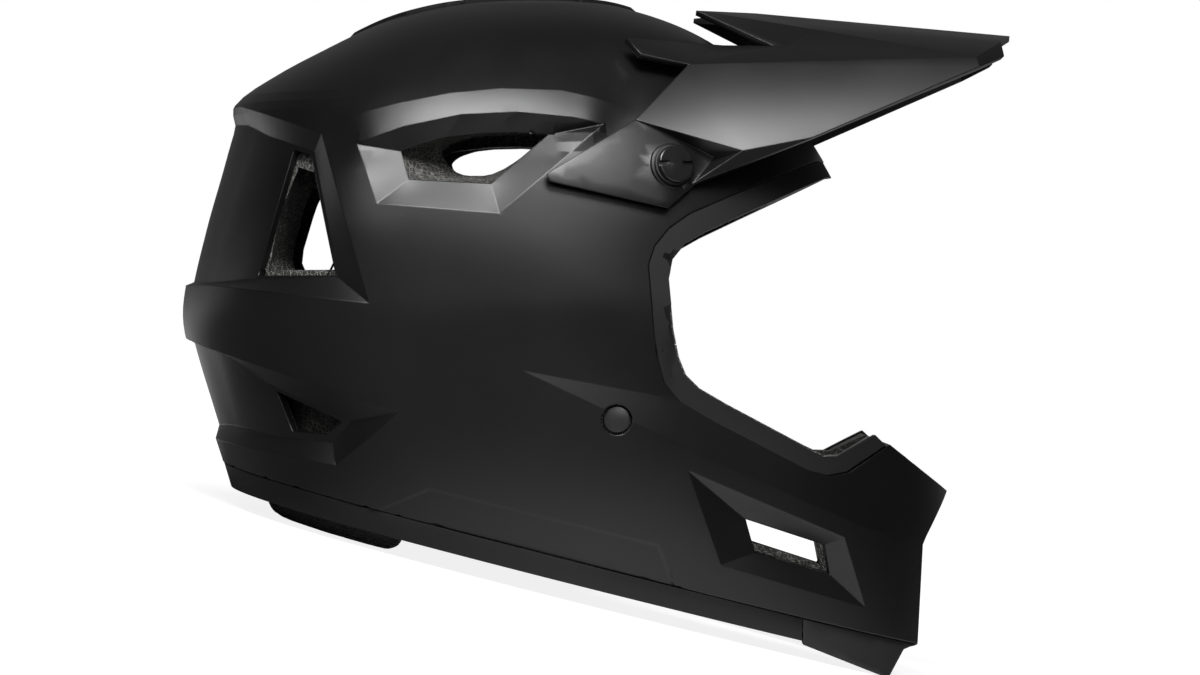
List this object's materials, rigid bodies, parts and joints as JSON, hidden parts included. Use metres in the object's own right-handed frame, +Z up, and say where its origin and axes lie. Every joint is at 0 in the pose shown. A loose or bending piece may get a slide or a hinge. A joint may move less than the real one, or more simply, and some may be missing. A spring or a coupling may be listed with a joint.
{
  "type": "full face helmet",
  "caption": "Full-face downhill bike helmet with tilting visor, foam liner, snap-in cheek pads, vents, and a chin strap closed with D-rings.",
  "frame": {"origin": "on the floor under the middle of the helmet's length, where it stands on its neck roll and chin piece", "axes": "+X forward to the chin, +Y to the wearer's left, +Z up; the head's own level leans back by 14.6 degrees from this, because the helmet stands on its rim"},
  "size_m": [0.3568, 0.2366, 0.2912],
  "materials": {
    "shell": "matte black painted shell",
    "visor_plastic": "matte black moulded plastic",
    "trim": "soft black edge trim",
    "rim_plastic": "black moulded rim",
    "chin_rubber": "black moulded lip",
    "foam": "grey expanded bead foam",
    "pad_fabric": "black padded knit",
    "grille": "black plastic grille",
    "screw_plastic": "satin black moulded screw",
    "washer": "black rubber",
    "insert": "threaded brass insert",
    "rivet": "black plug",
    "steel": "plain steel",
    "webbing": "black woven webbing",
    "snap_plastic": "black moulded snap"
  },
  "bodies": {
    "helmet": {"outer_shell": "shell", "crown_foam": "foam", "chin_bar_foam": "foam", "eyeport_trim": "trim", "rim_trim": "rim_plastic", "chin_piece": "chin_rubber", "chin_grille": "grille", "neck_roll": "pad_fabric", "crown_pad": "pad_fabric", "brow_pad": "pad_fabric", "nape_pad": "pad_fabric", "cheek_snap_left_1": "snap_plastic", "cheek_snap_left_2": "snap_plastic", "cheek_snap_left_3": "snap_plastic", "strap_rivet_left": "rivet", "strap_anchor_left": "steel", "strap_upper_left": "webbing", "visor_insert_left": "insert", "cheek_snap_right_1": "snap_plastic", "cheek_snap_right_2": "snap_plastic", "cheek_snap_right_3": "snap_plastic", "strap_rivet_right": "rivet", "strap_anchor_right": "steel", "strap_upper_right": "webbing", "visor_insert_right": "insert"},
    "visor": {"visor": "visor_plastic"},
    "strap_loop": {"strap_ring_end": "webbing", "strap_loose_end": "webbing", "strap_snap": "snap_plastic", "d_ring_upper": "steel", "d_ring_lower": "steel"},
    "cheek_pad_left": {"cheek_pad_left": "pad_fabric"},
    "visor_screw_left": {"visor_screw_left": "screw_plastic", "visor_washer_left": "washer"},
    "cheek_pad_right": {"cheek_pad_right": "pad_fabric"},
    "visor_screw_right": {"visor_screw_right": "screw_plastic", "visor_washer_right": "washer"}
  },
  "joints": [
    {"name": "visor_tilt", "type": "hinge", "parent": "helmet", "child": "visor", "pos_m": [0.01916, 0, 0.19267], "axis": [0, -1, 0], "range_deg": [-10, 8]},
    {"name": "strap_swing", "type": "hinge", "parent": "helmet", "child": "strap_loop", "pos_m": [0.02382, 0, 0.024], "axis": [0, -1, 0], "range_deg": [-20, 20]},
    {"name": "cheek_pad_left_pull", "type": "slide", "parent": "helmet", "child": "cheek_pad_left", "axis": [0, -1, 0], "range_m": [0, 0.012]},
    {"name": "visor_screw_left_turn", "type": "hinge", "parent": "helmet", "child": "visor_screw_left", "pos_m": [0.01916, 0.09811, 0.19267], "axis": [0.3506, 0.8721, 0.3413], "continuous": true},
    {"name": "cheek_pad_right_pull", "type": "slide", "parent": "helmet", "child": "cheek_pad_right", "axis": [0, 1, 0], "range_m": [0, 0.012]},
    {"name": "visor_screw_right_turn", "type": "hinge", "parent": "helmet", "child": "visor_screw_right", "pos_m": [0.01916, -0.09811, 0.19267], "axis": [0.3506, -0.8721, 0.3413], "continuous": true}
  ]
}
